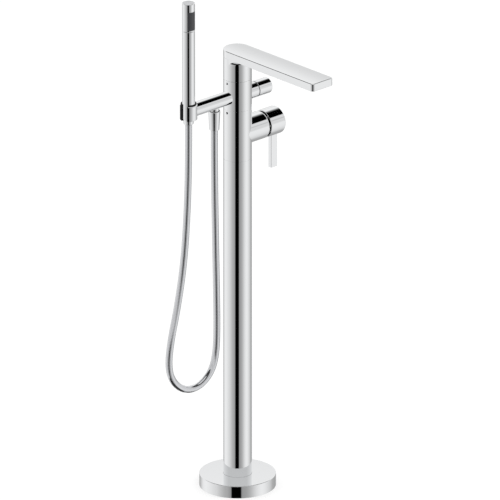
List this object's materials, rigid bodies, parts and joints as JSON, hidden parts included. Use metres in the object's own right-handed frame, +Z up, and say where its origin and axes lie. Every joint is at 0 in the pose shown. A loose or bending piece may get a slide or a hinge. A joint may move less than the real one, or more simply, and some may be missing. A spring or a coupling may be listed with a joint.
{
  "type": "floor standing bath filler",
  "caption": "Tall round column on a floor rosette with a flat swivel spout, side lever mixer, diverter knob and a stick hand shower on a hose.",
  "frame": {"origin": "centre of the floor fixing on the column's axis, in the plane of the finished floor", "axes": "+Z up along the column, -Y along the spout at rest, +X towards the mixer and the diverter knob, -X towards the hand shower"},
  "size_m": [0.292, 0.318, 1.0423],
  "materials": {
    "chrome": "polished chrome plate",
    "steel": "plain stainless steel",
    "brass": "bare turned brass",
    "black_rubber": "matt rubber",
    "grey_rubber": "soft grey silicone",
    "black_plastic": "satin black",
    "grey_plastic": "dark grey, semi-gloss",
    "white_plastic": "moulded, satin",
    "ceramic": "lapped white ceramic",
    "satin_grey": "satin chrome plate",
    "silver_hose": "smooth silver metal-effect hose"
  },
  "bodies": {
    "column": {"floor_rosette": "chrome", "rosette_seal": "black_rubber", "floor_foot": "brass", "foot_set_screws": "steel", "column_tube": "chrome", "hot_supply_pipe": "steel", "cold_supply_pipe": "steel", "pipe_seals": "black_rubber", "mixer_body": "chrome", "cartridge_body": "white_plastic", "cartridge_discs": "ceramic", "cartridge_nut": "brass", "diverter_body": "chrome", "module_seal": "black_rubber", "diverter_set_screw": "steel", "diverter_cartridge": "brass", "spout_set_screw": "steel", "shower_arm": "chrome", "holder_cradle": "chrome", "holder_liner": "black_plastic", "hose_outlet_stub": "brass", "check_valve": "white_plastic", "hose_washer_outlet": "black_rubber", "hose_nut_outlet": "chrome", "shower_hose": "silver_hose"},
    "spout": {"spout_body": "chrome", "spout_seal": "black_rubber", "aerator_housing": "chrome", "aerator_insert": "white_plastic"},
    "mixer_spindle": {"cartridge_carrier": "white_plastic", "stem_pivot_pin": "steel"},
    "mixer_handle": {"cartridge_stem": "brass", "handle_cap": "chrome", "lever_bar": "chrome", "handle_grub_screw": "steel", "handle_plug": "chrome"},
    "diverter_handle": {"diverter_spindle": "brass", "diverter_knob": "chrome", "knob_grub_screw": "steel"},
    "hand_shower": {"hose_nut_handset": "chrome", "hose_washer_handset": "black_rubber", "handset_connector": "brass", "handset_handle": "chrome", "handset_pipe": "white_plastic", "handset_head": "chrome", "handset_top_cap": "satin_grey", "spray_panel": "grey_plastic", "spray_nozzles": "grey_rubber"}
  },
  "joints": [
    {"name": "spout_swivel", "type": "hinge", "parent": "column", "child": "spout", "pos_m": [0, 0, 0.853], "axis": [0, 0, 1], "range_deg": [-60, 60]},
    {"name": "temperature_turn", "type": "hinge", "parent": "column", "child": "mixer_spindle", "pos_m": [0.043, 0, 0.739], "axis": [1, 0, 0], "range_deg": [-45, 45]},
    {"name": "flow_tilt", "type": "hinge", "parent": "mixer_spindle", "child": "mixer_handle", "pos_m": [0.043, 0, 0.739], "axis": [0, -1, 0], "range_deg": [0, 20]},
    {"name": "diverter_turn", "type": "hinge", "parent": "column", "child": "diverter_handle", "pos_m": [0.0655, 0, 0.817], "axis": [1, 0, 0], "range_deg": [0, 90]},
    {"name": "hand_shower_lift", "type": "slide", "parent": "column", "child": "hand_shower", "axis": [0, 0, 1], "range_m": [0, 0.05]}
  ]
}
